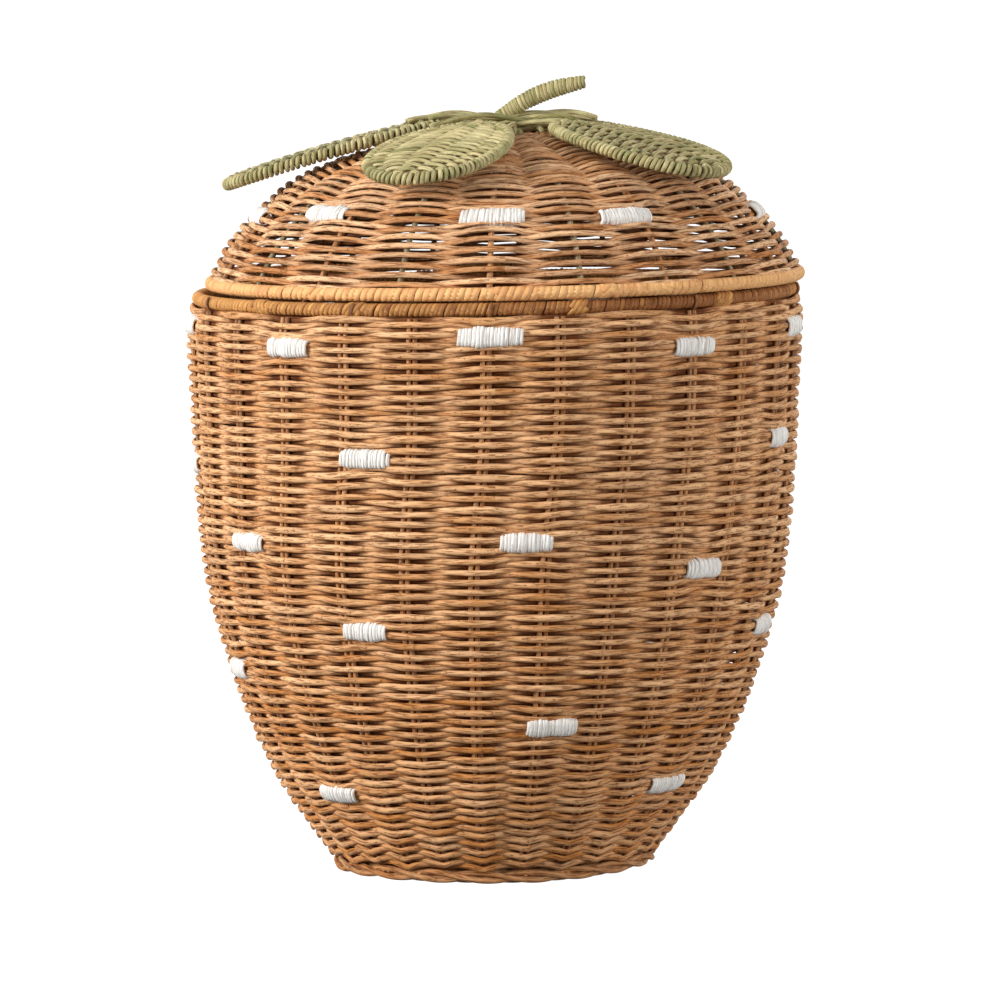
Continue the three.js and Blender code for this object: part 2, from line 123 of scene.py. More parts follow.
def sweep(paths, lean, deep, wide, sides, closed=False, square=1.0):
    """Rings round each path point: point + lean * deep * cos(turn) + side * wide * sin(turn).

    lean is made square to the path first. deep and wide are half thicknesses. A square above 1 pulls
    the section from an oval towards a rectangle, by raising cos and sin to 1 / square.
    """
    along = tangents(paths, closed)
    lean = unit(lean - along * np.sum(lean * along, axis=-1, keepdims=True))
    side = np.cross(along, lean)
    turn = np.pi + TURN * np.arange(sides) / sides
    cos, sin = (np.sign(f) * np.abs(f) ** (1 / square) for f in (np.cos(turn), np.sin(turn)))
    deep, wide = (np.broadcast_to(size, paths.shape[:-1])[..., None, None] for size in (deep, wide))
    return (paths[..., None, :] + lean[..., None, :] * deep * cos[:, None]
            + side[..., None, :] * wide * sin[:, None])


# %% [markdown]
# ## The lean of handwork
# The real basket isn't quite true: its upper rows and its lid tilt, and its foot is higher at one end.
# Tilting each piece would part them. A small shift that depends only on where a point is bends all of
# them together.

# %% Lean
LEAN = 0.019
LEAN_FOOT = 170 * MM
LEAN_FULL = 340 * MM
FOOT_LIFT = 5.0 * MM
FOOT_LIFT_TOP = 110 * MM
FOOT_LIFT_SPAN = 100 * MM


def hand_lean(points):
    """Raises points by LEAN * x * a smooth step, 0 at LEAN_FOOT and 1 at LEAN_FULL, and the right end of
    the foot by FOOT_LIFT * (x / FOOT_LIFT_SPAN)**2, which fades out up to FOOT_LIFT_TOP."""
    share = np.clip((points[..., 2] - LEAN_FOOT) / (LEAN_FULL - LEAN_FOOT), 0, 1)
    low = np.clip(1 - points[..., 2] / FOOT_LIFT_TOP, 0, 1)
    leaned = points.copy()
    leaned[..., 2] += LEAN * points[..., 0] * share * share * (3 - 2 * share)
    leaned[..., 2] += FOOT_LIFT * low * np.clip(points[..., 0] / FOOT_LIFT_SPAN, 0, 1.2) ** 2
    return leaned


# %% [markdown]
# ## From rings to a mesh
# A curve's bevel could thicken a strand too, but it can't say where the strand passes behind a stake.
# Here array arithmetic joins the rings' points into faces, and each point also keeps the strand's colour
# number and a painted shade, mostly from how far it dives, for the material to read.

# %% Turn rings into a mesh
def skin(name, rings, material, closed=False, tint=0.0, dive=0.0):
    """A mesh from rings of shape (strands, steps, sides, 3), with flat end caps unless it is closed.

    The UV map holds metres along the strand and the share of the way round. tint, and the painted shade,
    how dark a strand is painted where it lies behind the stakes or in a hollow, are numbers from 0 to 1 for
    each strand or step, kept for each point.
    """
    strands, steps, sides = rings.shape[:3]
    rings = hand_lean(rings)
    first = (np.arange(strands) * steps * sides)[:, None, None]
    spans = steps if closed else steps - 1
    i, j = np.arange(spans)[None, :, None], np.arange(sides)[None, None, :]
    near, far, beside = i * sides, (i + 1) % steps * sides, (j + 1) % sides
    quads = np.stack([first + near + j, first + near + beside, first + far + beside, first + far + j], -1)
    centres = rings.mean(axis=2)
    gap = np.linalg.norm(np.diff(centres, axis=1, append=centres[:, :1]), axis=-1)
    length = np.concatenate([np.zeros((strands, 1)), np.cumsum(gap, axis=1)], axis=1)
    u = np.stack([length[:, :spans]] * 2 + [length[:, 1:spans + 1]] * 2, -1)
    v = np.stack([j, j + 1, j + 1, j], -1) / sides
    uv = np.stack(np.broadcast_arrays(u[:, :, None, :], v), -1).reshape(-1, 2)
    points = rings.reshape(-1, 3)
    corner = points[quads]
    facing = np.cross(corner[..., 1, :] - corner[..., 0, :], corner[..., 3, :] - corner[..., 0, :])
    outward = corner[..., 0, :] - centres[:, :spans, None, :]
    order = slice(None) if np.sum(facing * outward) > 0 else slice(None, None, -1)
    loops = quads.reshape(-1, 4)[:, order]
    uv = uv.reshape(-1, 4, 2)[:, order].reshape(-1, 2)
    sizes = [np.full(len(loops), 4)]
    corners = [loops.ravel()]
    if not closed:
        ends = first[:, 0] + np.arange(sides)
        caps = np.stack([ends[:, ::-1], ends + (steps - 1) * sides], 1).reshape(-1, sides)[:, order]
        corners.append(caps.ravel())
        sizes.append(np.full(len(caps), sides))
        uv = np.concatenate([uv, np.zeros((caps.size, 2))])
    mesh = bpy.data.meshes.new(name)
    mesh.vertices.add(len(points))
    mesh.vertices.foreach_set("co", points.astype(np.float32).ravel())
    corners, sizes = np.concatenate(corners), np.concatenate(sizes)
    mesh.loops.add(len(corners))
    mesh.loops.foreach_set("vertex_index", corners.astype(np.int32))
    mesh.polygons.add(len(sizes))
    mesh.polygons.foreach_set("loop_start", (np.cumsum(sizes) - sizes).astype(np.int32))
    mesh.polygons.foreach_set("use_smooth", np.ones(len(sizes), bool))
    mesh.uv_layers.new(name="along").data.foreach_set("uv", uv.astype(np.float32).ravel())
    for key, given in (("tint", tint), ("dive", dive)):
        given = np.full((strands, 1), given) if np.isscalar(given) else np.reshape(given, (strands, -1))
        values = np.broadcast_to(given[:, :, None], (strands, steps, sides)).astype(np.float32)
        mesh.attributes.new(key, "FLOAT", "POINT").data.foreach_set("value", values.ravel())
    mesh.update(calc_edges=True)
    mesh.validate()
    made = bpy.data.objects.new(name, mesh)
    bpy.context.scene.collection.objects.link(made)
    mesh.materials.append(material)
    print(name, "-", len(corners) - 2 * len(sizes), "triangles")
    return made


# %% Fit a piece to the model
def fit(piece, body, slot, *nodes):
    """The piece moves with a body and stands for the given nodes. slot is not used."""
    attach(piece, body)
    if nodes:
        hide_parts(*nodes)


# %% [markdown]
# ## The finish of cane
# Rattan is a bundle of long fibres, with fine streaks, slow changes of colour and now and then a dark
# ring where a leaf grew. A plain brown would look like plastic, and a photograph of cane would repeat.
# One node group makes it all from noise on the strand's own UV map, and peel, stained cane and paper
# cord are the same group with other values.

# %% Node helpers
def colour(red, green, blue):
    """Screen values from 0 to 255 as the linear ones that a shader wants."""
    share = np.array([red, green, blue]) / 255
    linear = np.where(share <= 0.04045, share / 12.92, ((share + 0.055) / 1.055) ** 2.4)
    return (*linear, 1.0)


def add(tree, kind, inputs=None, **settings):
    """A node with its settings, and each input linked to a socket or set to a value."""
    made = tree.nodes.new(kind)
    for key, value in settings.items():
        setattr(made, key, value)
    for key, value in (inputs or {}).items():
        if isinstance(value, bpy.types.NodeSocket):
            tree.links.new(value, made.inputs[key])
        else:
            made.inputs[key].default_value = value
    return made


def sums(tree, operation, a, b=0.0):
    """A Math node's result, from sockets or values."""
    return add(tree, "ShaderNodeMath", {0: a, 1: b}, operation=operation).outputs[0]


def mixed(tree, factor, a, b, blend="MIX"):
    """Colour a where factor is 0 and b where it is 1."""
    return add(tree, "ShaderNodeMix", {0: factor, 6: a, 7: b}, data_type="RGBA", blend_type=blend).outputs[2]


def toned(tree, factor, base, tone):
    """The base colour, multiplied by a tone where factor is 1."""
    return mixed(tree, factor, base, mixed(tree, 1.0, base, (*tone, 1.0), "MULTIPLY"))


def ramp(tree, value, low, high):
    """0 below low, 1 above high, and straight between."""
    return add(tree, "ShaderNodeMapRange", {0: value, 1: low, 2: high}).outputs[0]


# %% The cane group's values
STREAKS_A_METRE = 38.0
FIBRES_A_METRE = 115.0
SPECKS_A_METRE = 420.0
PATCHES_A_METRE = 9.0
AGED_SHARE = 0.7
RINGS_A_METRE = 1.1
RING_SHARE = 0.0022
WANDER = 1.3
ROUGH_LEAST, ROUGH_RANGE = 0.55, 0.3
LINE_TONE = (0.4, 0.3, 0.22)
BRIGHT_TONE = (1.14, 1.13, 1.11)
RING_TONE = (0.3, 0.2, 0.15)
# The painted shade's tone, multiplied in where a strand lies behind the stakes or in a hollow.
PAINTED_SHADE_TONE = (0.25, 0.14, 0.065)

# %% The cane group
cane_group = bpy.data.node_groups.new("cane surface", "ShaderNodeTree")
for way, kind, sockets in (("INPUT", "Color", ("Light", "Dark", "Aged")),
                           ("INPUT", "Float", ("Spread", "Fibre", "Ring")),
                           ("OUTPUT", "Color", ("Color",)), ("OUTPUT", "Float", ("Roughness", "Height"))):
    for socket in sockets:
        cane_group.interface.new_socket(socket, in_out=way, socket_type="NodeSocket" + kind)


def fill_cane_group(tree):
    """Streaks are noise stretched along the strand; cos and sin of the way round close its seam. tint and
    slow noise choose between Light and Dark, patches turn Aged, and then dark fibres and specks, bright
    fibres, leaf rings and the shade behind the stakes are multiplied in."""
    given = add(tree, "NodeGroupInput").outputs
    spot = add(tree, "ShaderNodeSeparateXYZ", {0: add(tree, "ShaderNodeUVMap", uv_map="along").outputs[0]})
    along, around = spot.outputs[0], sums(tree, "MULTIPLY", spot.outputs[1], TURN)
    tint = add(tree, "ShaderNodeAttribute", attribute_name="tint").outputs["Fac"]
    cos, sin = sums(tree, "COSINE", around), sums(tree, "SINE", around)

    def times(a, b):
        return sums(tree, "MULTIPLY", a, b)

    def plus(a, b):
        return sums(tree, "ADD", a, b)

    def streaks(per_metre, round_scale, shift, detail):
        x = plus(times(along, per_metre), times(tint, shift))
        y, z = times(cos, round_scale), times(sin, round_scale)
        place = add(tree, "ShaderNodeCombineXYZ", {0: x, 1: y, 2: z}).outputs[0]
        noise = add(tree, "ShaderNodeTexNoise", {"Vector": place, "Scale": 1.0, "Detail": detail})
        return noise.outputs[0]

    slow = streaks(STREAKS_A_METRE, 0.3, 91.0, 2.0)
    fibre = streaks(FIBRES_A_METRE, 2.1, 57.0, 5.0)
    speck = ramp(tree, streaks(SPECKS_A_METRE, 1.5, 37.0, 1.0), 0.66, 0.72)
    wander = times(sums(tree, "SUBTRACT", slow, 0.5), WANDER)
    choice = plus(times(tint, given["Spread"]), wander)
    base = mixed(tree, ramp(tree, choice, 0.0, 1.0), given["Light"], given["Dark"])
    patches = ramp(tree, streaks(PATCHES_A_METRE, 0.2, 23.0, 1.0), 0.5, 0.66)
    base = mixed(tree, times(patches, AGED_SHARE), base, given["Aged"])
    lines = times(ramp(tree, fibre, 0.5, 0.6), given["Fibre"])
    lines = sums(tree, "MAXIMUM", lines, times(speck, given["Fibre"]))
    base = toned(tree, lines, base, LINE_TONE)
    bright = times(ramp(tree, fibre, 0.46, 0.3), given["Fibre"])
    base = toned(tree, bright, base, BRIGHT_TONE)
    steps = plus(times(along, RINGS_A_METRE), times(tint, 13.0))
    ring = sums(tree, "LESS_THAN", sums(tree, "FRACT", steps), RING_SHARE)
    ring = times(ring, given["Ring"])
    base = toned(tree, ring, base, RING_TONE)
    # Painted shade: the colour darkens towards the shade tone where a strand lies behind the stakes or in a
    # hollow.
    dive = add(tree, "ShaderNodeAttribute", attribute_name="dive").outputs["Fac"]
    base = toned(tree, dive, base, PAINTED_SHADE_TONE)
    rough = plus(times(fibre, ROUGH_RANGE), ROUGH_LEAST)
    height = sums(tree, "SUBTRACT", fibre, times(ring, 0.3))
    add(tree, "NodeGroupOutput", {"Color": base, "Roughness": rough, "Height": height})


fill_cane_group(cane_group)
print("the cane group has", len(cane_group.nodes), "nodes")


# %% Materials
BUMP_HEIGHT = 0.4 * MM


def cane(name, light, dark, aged, spread=0.95, fibre=0.8, ring=0.35, relief=0.6, gloss=0.22):
    """A material of the cane group. The colours are 0 to 255. spread is how far strands differ, fibre and
    ring how dark their lines and leaf rings are, relief how deep the fibres, gloss the specular level."""
    material = bpy.data.materials.new(name)
    material.use_nodes = True
    tree = material.node_tree
    shader = tree.nodes["Principled BSDF"]
    shader.inputs["Specular IOR Level"].default_value = gloss
    surface = add(tree, "ShaderNodeGroup", {
        "Light": colour(*light), "Dark": colour(*dark), "Aged": colour(*aged), "Spread": spread,
        "Fibre": fibre, "Ring": ring}, node_tree=cane_group)
    bump = add(tree, "ShaderNodeBump", {"Strength": relief, "Distance": BUMP_HEIGHT,
                                        "Height": surface.outputs["Height"]})
    tree.links.new(surface.outputs["Color"], shader.inputs["Base Color"])
    tree.links.new(surface.outputs["Roughness"], shader.inputs["Roughness"])
    tree.links.new(bump.outputs[0], shader.inputs["Normal"])
    return material


weave_cane = cane("weave_cane", (238, 189, 140), (190, 125, 64), (204, 160, 118), fibre=0.95)
lid_cane = cane("lid_cane", (240, 194, 148), (188, 127, 74), (204, 168, 132), fibre=0.95)
stake_cane = cane("stake_cane", (208, 152, 102), (148, 96, 54), (160, 124, 96))
grey_green_cane = cane("grey_green_cane", (172, 158, 126), (132, 122, 88), (150, 130, 104))
honey_peel = cane("honey_peel", (242, 188, 124), (218, 150, 88), (206, 140, 86), spread=0.6, fibre=0.25,
                  ring=0.0, gloss=0.45)
ochre_peel = cane("ochre_peel", (226, 166, 94), (128, 74, 32), (160, 104, 56), spread=0.9, fibre=0.4,
                  ring=0.0, gloss=0.35)
sage_cane = cane("sage_cane", (216, 204, 154), (122, 124, 70), (190, 174, 124), spread=0.9, fibre=0.7,
                 ring=0.2)
white_paper = cane("white_paper", (252, 250, 246), (236, 232, 226), (240, 236, 230), spread=0.7, fibre=0.5,
                   ring=0.0, relief=1.0)


# %% [markdown]
# ## The outline
# The wall is a surface of revolution. An outline typed in again might drift from the model, so it is
# read from the model's own wall: the outer points of every height, joined by a smooth curve and walked
# at even steps, so that rows keep their pitch on the slope as a weaver's rows do.

# %% Read an outline
def node_points(node):
    """The corners of one of the model's solids."""
    mesh = frame["nodes"][node].data
    flat = np.empty(len(mesh.vertices) * 3, np.float32)
    mesh.vertices.foreach_get("co", flat)
    return flat.reshape(-1, 3).astype(float)


def outer_points(node, middle):
    """(radius, height) points of the outward bulge of a turned solid, from the bottom up."""
    x, y, z = node_points(node).T
    radius = np.hypot(x - middle, y)
    hull = []
    for height in np.unique(np.round(z, 5)):
        point = np.array([radius[np.abs(z - height) < 1e-5].max(), height])
        while len(hull) > 1 and np.cross(hull[-1] - hull[-2], point - hull[-1]) < 0:
            hull.pop()
        hull.append(point)
    return np.array(hull)


def smooth_line(points, count):
    """A curve through the points, walked at count even steps (Catmull-Rom: each span leaves and enters
    along the line between its neighbours)."""
    padded = np.concatenate([2 * points[:1] - points[1:2], points, 2 * points[-1:] - points[-2:-1]])
    spans = len(points) - 1
    place = np.linspace(0, spans - 1e-9, spans * 24)
    k, t = place.astype(int), (place % 1)[:, None]
    a, b, c, d = (padded[k + n] for n in range(4))
    fine = 0.5 * (2 * b + (c - a) * t + (2 * a - 5 * b + 4 * c - d) * t**2 + (3 * b - a - 3 * c + d) * t**3)
    walked = np.concatenate([[0], np.cumsum(np.linalg.norm(np.diff(fine, axis=0), axis=1))])
    even = np.linspace(0, walked[-1], count)
    return np.stack([np.interp(even, walked, column) for column in fine.T], -1), walked[-1]


def outward(line):
    """The outline's normal: its direction turned a quarter to the outside."""
    along = unit(np.gradient(line, axis=0))
    return np.stack([along[:, 1], -along[:, 0]], -1)


def around(radius, turn, height, middle=0.0):
    """Points at a radius and a turn from the front, positive to the right."""
    return np.stack(np.broadcast_arrays(middle + radius * np.sin(turn), -radius * np.cos(turn), height), -1)


lid_low, lid_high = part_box("lid_weave")
lid_middle = (lid_low.x + lid_high.x) / 2
wall_outline = outer_points("side_weave", 0.0)
lid_outline = outer_points("lid_weave", lid_middle)
print("outline points:", len(wall_outline), len(lid_outline), "lid off by", round(lid_middle / MM, 1), "mm")

# %% [markdown]
# ## The woven side
# Each row goes in front of one pair of stakes and behind the next, and the next row does the opposite.
# An array modifier could repeat one crossing, but no two are alike. So a row is a ring that swings about
# the wall's middle by a flattened cosine. Where it bows outwards it is round and full; between the stakes
# the rows press each other flat. Seeded wobbles keep it hand-made. Each white seed draws the rows inside
# it together, so the seeds' places are read first.

# %% Seed places
SEED_LENGTH = 34 * MM
LONG_SEED = 1.24
SEED_HEIGHT = 12.6 * MM
SEED_OUT = 0.8 * MM
SEED_REACH = 3.7 * MM
SEED_NEARER = 0.968
DOME_SEEDS_NEARER = 0.18
DOME_SEED_PLACES = {"lid_seed_01": (-81, 5.5), "lid_seed_02": (-46.5, 0.5), "lid_seed_05": (84, 2.5)}


def seed_spots(prefix, middle, forward=0.0):
    """Turn from the front and height of each seed's node, with the lean taken off. The front ones are
    moved to turn * (SEED_NEARER - forward * (turn / 80 deg)**4), as in the photograph."""
    spots = {}
    for node in sorted(frame["nodes"]):
        if node.startswith(prefix):
            low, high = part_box(node)
            centre = (low + high) / 2
            turn = np.arctan2(centre.x - middle, -centre.y)
            if abs(turn) < np.pi / 2:
                turn *= SEED_NEARER - forward * (turn / np.radians(80)) ** 4
            spots[node] = (turn, centre.z - hand_lean(np.array(centre))[2] + centre.z)
    return spots


side_seeds = seed_spots("body_seed", 0.0)
dome_seeds = seed_spots("lid_seed", lid_middle, DOME_SEEDS_NEARER)
for node, (turn, drop) in DOME_SEED_PLACES.items():  # degrees and mm
    dome_seeds[node] = (np.radians(turn), dome_seeds[node][1] - drop * MM)
print(len(side_seeds), "side seeds,", len(dome_seeds), "dome seeds")


# %% Weave rows
SEED_PULL = 0.2
SHARED_ROWS = 7


def woven(line, stakes, phase, swing, deep, wide, pitch, rng, middle=0.0, steps=8, sides=8, wobble=0.35 * MM,
          bound=(), sag=0.0, upright=1.0, crowd=0.55, loose=0.35):
    """Rings that swing along the wall's normal, and for each step how far it dives behind the stakes.

    The swing is swing * (0.7 * cos(beat) + 0.3 * sin(90 deg * cos(beat))), with one wave of beat for two
    stakes and the sign changing with each row. line holds each row's (radius, height) in the wall's
    middle. deep and wide are half thicknesses; wide shrinks between stakes to crowd times the pitch.
    bound lists the turn and height of seeds: inside one the swing fades by exp(-far**4), with far 1 at
    its edge, and rows near it move closer by SEED_PULL of their distance. sag is how far a row dips at
    a stake. upright turns the swing from level, at 0, to square with the wall, at 1. The wobble is eight
    seeded waves, shared by SHARED_ROWS rows but for a part, loose, of a row's own.
    """
    rows = len(line)
    normal = outward(line)
    turn = np.linspace(0, TURN, stakes * steps, endpoint=False)[None, :]
    parity = np.pi * (np.arange(rows) % 2)[:, None]
    beat = stakes / 2 * (turn - np.reshape(phase, (-1, 1)))
    wave = 0.7 * np.cos(beat + parity) + 0.3 * np.sin(np.pi / 2 * np.cos(beat + parity))
    waves_round = np.arange(1, 9)[None, :, None]
    height = rng.normal(0, 1, (rows, 8, 1)) / waves_round**0.7
    shift = rng.uniform(0, TURN, (rows, 8, 1))
    own = wobble * np.sum(height * np.cos(waves_round * turn[:, None, :] + shift), axis=1)
    shared = sum(np.roll(own, k, axis=0) for k in range(SHARED_ROWS)) / SHARED_ROWS**0.5
    drift = loose * own + 0.9 * shared
    bow = swing * wave * (1 + 0.12 * rng.normal(0, 1, (rows, 1))) + 0.3 * drift
    for spot_turn, spot_level in bound:
        aside = (turn - spot_turn + np.pi) % TURN - np.pi
        beside = aside * line[:, :1] / (0.5 * SEED_LENGTH)
        over = (line[:, 1:] - spot_level) / normal[:, :1]
        held = np.exp(-beside**4 - (over / (0.72 * SEED_HEIGHT)) ** 4)
        bow = bow * (1 - held) + SEED_OUT * held
        drift = drift - SEED_PULL * over * np.exp(-beside**4 - (over / (1.5 * SEED_HEIGHT)) ** 2)
    drift = drift - sag * ((1 - np.abs(np.sin(beat))) ** 1.3 - 0.27)
    aim = unit(normal * [1, upright])
    radius = line[:, :1] + aim[:, :1] * bow - normal[:, 1:] * drift
    level = line[:, 1:] + aim[:, 1:] * bow + normal[:, :1] * drift
    paths = around(radius, turn, level, middle)
    lean = around(normal[:, :1], turn, normal[:, 1:])
    thick = 1 + 0.1 * rng.normal(0, 1, (rows, 1))
    pressed = crowd * pitch + (wide * thick - crowd * pitch) * np.abs(wave) ** 1.5
    # Painted shade: the deeper a strand lies behind the stakes, the darker the material paints it.
    dive = np.clip(-2.2 * bow / np.max(swing) - 0.65, 0, 1)
    return sweep(paths, lean, deep * thick, pressed, sides, closed=True), dive


def inset_line(outline, count, inset):
    """The outline walked at even steps and moved inward by an inset along its normal."""
    line, _ = smooth_line(outline, count)
    return line - outward(line) * inset


# %% Side rows
STRAND = 3.9 * MM
STAKE = 3.1 * MM
ROW_PITCH = 3.2 * MM
FOOT_SAG = 4.4 * MM
FOOT_SAG_REACH = 42 * MM
CALM_BELOW = 120 * MM
PAINTED_SHADE_BELOW = 240 * MM
SIDE_PARTS = {"lower": slice(0, 40), "middle": slice(40, 76), "upper": slice(76, None)}

half_deep, half_wide = 0.37 * STRAND, 0.555 * STRAND
weave_swing = half_deep + 0.42 * STAKE
wall_inset = half_deep + weave_swing
side_rng = np.random.default_rng(7)
side_rows = round(smooth_line(wall_outline, 2)[1] / ROW_PITCH)
side_line = inset_line(wall_outline, side_rows, wall_inset)
foot_sag = FOOT_SAG * np.exp(-side_line[:, 1:] / FOOT_SAG_REACH)
calm = 1 - np.clip(side_line[:, 1:] / CALM_BELOW, 0, 1)
# Painted shade: the rows are darker towards the bottom, fading out 240 mm up.
painted_low_shade = 1 - np.clip(side_line[:, 1] / PAINTED_SHADE_BELOW, 0, 1)
print(side_rows, "rows")

# %% Where the stakes stand
STAKE_PAIRS = 26
PAIR_SPREAD = 1.9 * MM
STAKE_PHASE = np.radians(-1.7)
STAKE_TWIST = np.radians(-2.5)
TWIST_TOP = 300 * MM
TWIST_REACH = 120 * MM


def stake_turn(height):
    """The stakes aren't quite upright: phase + twist * a smooth step, 0 at TWIST_TOP and 1 at TWIST_REACH
    below it."""
    share = np.clip((TWIST_TOP - height) / TWIST_REACH, 0, 1)
    return STAKE_PHASE + STAKE_TWIST * share * share * (3 - 2 * share)


# %% Weave the side
# The rows come with how far they lie behind the stakes, which the material paints as shade.
side_rings, side_dive = woven(
    side_line, STAKE_PAIRS, stake_turn(side_line[:, 1]), weave_swing * (1 - 0.2 * calm), half_deep, half_wide,
    ROW_PITCH, side_rng, wobble=0.42 * MM, bound=side_seeds.values(), sag=foot_sag, upright=0.45,
    crowd=0.54 + 0.16 * calm)
# Each row's tone is random, plus a painted shade that makes the lower rows darker.
side_tones_and_shade = 0.72 * side_rng.uniform(0, 1, side_rows) + 0.5 * painted_low_shade
for part, rows in SIDE_PARTS.items():
    woven_side = skin("woven_side_" + part, side_rings[rows], weave_cane, True, side_tones_and_shade[rows],
                      side_dive[rows])
    fit(woven_side, "basket", "woven_rattan", "side_weave")


# %% [markdown]
# ## Stakes and base
# The stakes stand in pairs in the middle of the wall. They start as spokes under the base, and turn up
# tucked in behind the foot's border. The base could be a plain disc, but it shows when the lid is off, so
# it is woven in rings round the spokes, with the same function as the side.

# %% Stakes
FOOT_TUCK = 4.5 * MM
FOOT_TUCK_TOP = 18 * MM
STAKE_SHADE_TOP = 300 * MM

pair_turns = STAKE_PHASE + TURN * np.arange(STAKE_PAIRS) / STAKE_PAIRS
radius, height = inset_line(wall_outline, 64, wall_inset).T
radius -= FOOT_TUCK * np.clip(1 - height / FOOT_TUCK_TOP, 0, 1)
stake_lines = np.array([
    around(radius, turn + stake_turn(height) - STAKE_PHASE + side * (PAIR_SPREAD / radius), height)
    for turn in pair_turns for side in (-1, 1)])
stake_lean = around(1.0, np.repeat(pair_turns, 2)[:, None], 0.0)
# Painted shade: the stakes are darker towards the bottom.
stakes = skin("upright_stakes", sweep(stake_lines, stake_lean, STAKE / 2, STAKE / 2, 8), stake_cane,
              tint=side_rng.uniform(0, 1, 2 * STAKE_PAIRS),
              dive=np.clip(0.5 - stake_lines[..., 2] / STAKE_SHADE_TOP, 0, 1))
fit(stakes, "basket", "rattan_stakes", "stake_cage")

# %% Base
BASE_ROWS = 22
BASE_HOLE = 16 * MM
BASE_SWING = 1.5 * MM
BASE_DEEP = 1.2 * MM

base_low, base_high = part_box("base_weave")
base_level = (base_low.z + base_high.z) / 2
base_radius = np.linspace(base_high.x - 0.5 * STRAND, BASE_HOLE, BASE_ROWS)
base_line = np.stack([base_radius, np.full(BASE_ROWS, base_level)], -1)
base_swing = BASE_SWING * np.clip(base_radius / base_radius[0], 0.3, 1)[:, None]
base_rings, _ = woven(base_line, STAKE_PAIRS, STAKE_PHASE, base_swing, BASE_DEEP, half_wide, ROW_PITCH,
                      side_rng, steps=6, sides=6, wobble=0.15 * MM)
base = skin("woven_base", base_rings, weave_cane, True, side_rng.uniform(0, 1, BASE_ROWS))
fit(base, "basket", "woven_rattan", "base_weave")

# %% Base spokes
SPOKE_END = 6 * MM
SPOKE_DEEP, SPOKE_WIDE = 0.9 * MM, 1.2 * MM

spoke_reach = np.linspace(np.hypot(*stake_lines[0, 0, :2]), SPOKE_END, 20)
spoke_lines = np.array([around(spoke_reach, turn + side * PAIR_SPREAD / spoke_reach[0], base_level)
                        for turn in pair_turns for side in (-1, 1)])
spoke_rings = sweep(spoke_lines, UP, SPOKE_DEEP, SPOKE_WIDE, 6)
spokes = skin("base_spokes", spoke_rings, stake_cane, tint=side_rng.uniform(0, 1, 2 * STAKE_PAIRS))
fit(spokes, "basket", "rattan_stakes")

# %% [markdown]
# ## The foot's border
# The border is plaited from the ends that stick out under the base. Following each end as the weaver
# does would be slow, but a plait of five ends is just five copies of one wavy ring, each a fifth of a
# wave later: radius + swing * sin(beat), height + rise * sin(2 * beat).

# %% Foot border
FOOT_ENDS = 5
FOOT_WAVES = 4
FOOT_INSET = 6.5 * MM
FOOT_SWING, FOOT_RISE = 3.3 * MM, 2.5 * MM
FOOT_DEEP, FOOT_WIDE = 1.8 * MM, 1.9 * MM

foot_low, foot_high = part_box("foot_border")
turn = np.linspace(0, TURN, 320, endpoint=False)
beat = FOOT_WAVES * turn + TURN * np.arange(FOOT_ENDS)[:, None] / FOOT_ENDS
foot_paths = around(foot_high.x - FOOT_INSET + FOOT_SWING * np.sin(beat), turn,
                    (foot_low.z + foot_high.z) / 2 + FOOT_RISE * np.sin(2 * beat))
foot_rings = sweep(foot_paths, UP, FOOT_DEEP, FOOT_WIDE, 8, closed=True)
# The plait is darker: its tones lie in the dark part of the range, and it gets a painted shade of 0.3.
foot = skin("foot_plait", foot_rings, weave_cane, True, side_rng.uniform(0.6, 1, FOOT_ENDS), dive=0.3)
fit(foot, "basket", "woven_rattan", "foot_border")


# %% [markdown]
# ## Winding a strand
# The rims, leaf rods and stem are all bound with a long strand. A Screw modifier winds a perfect spring,
# which looks like a machine's work. This function steps round a guide line, and gives the turns small
# seeded slips, so that some lie open and some touch.

# %% Wind a strand
def along_line(guide, share, closed):
    """Point and direction on a guide line at shares of its length."""
    points = np.concatenate([guide, guide[:1]]) if closed else guide
    steps = np.linalg.norm(np.diff(points, axis=0), axis=1)
    walked = np.concatenate([[0], np.cumsum(steps)])
    want = (np.mod(share, 1) if closed else np.clip(share, 0, 1)) * walked[-1]
    slope = np.gradient(points, axis=0)
    if closed:
        slope[0] = slope[-1] = points[1] - points[-2]
    place, heading = (np.stack([np.interp(want, walked, column) for column in rows.T], -1)
                      for rows in (points, slope))
    return place, unit(heading)


def wound(guide, up, turns, reach, deep, wide, rng, closed=False, steps=10, sides=6, slip=0.2, square=1.6,
          slant=0.0):
    """A strand wound round a guide: guide + reach * (side * cos(turn) + above * sin(turn)).

    reach may be a function of the way along. Slips move turns along the guide by a part of the pitch, and
    slant moves their tops ahead by a share of the guide. Returns the rings and, for each step, a number
    that its whole turn has.
    """
    count = int(turns * steps)
    share = np.arange(count + (0 if closed else 1)) / count
    knots = np.arange(int(turns) + 2)
    slips = rng.normal(0, slip, len(knots)) / turns
    if closed:
        slips[-2:] = slips[:2]
    turn = TURN * share * turns
    moved = share + np.interp(share * turns, knots, slips) + slant * np.sin(turn)
    place, heading = along_line(guide, moved, closed)
    above = unit(up - heading * np.sum(heading * up, axis=-1, keepdims=True))
    side = np.cross(heading, above)
    reach = np.reshape(reach(share) if callable(reach) else reach, (-1, 1))
    lean = side * np.cos(turn)[:, None] + above * np.sin(turn)[:, None]
    rings = sweep((place + reach * lean)[None], unit(lean)[None], deep, wide, sides, closed, square)
    names = rng.uniform(0.2, 0.8, len(knots))[np.minimum((share * turns).astype(int), len(knots) - 1)]
    return rings, names


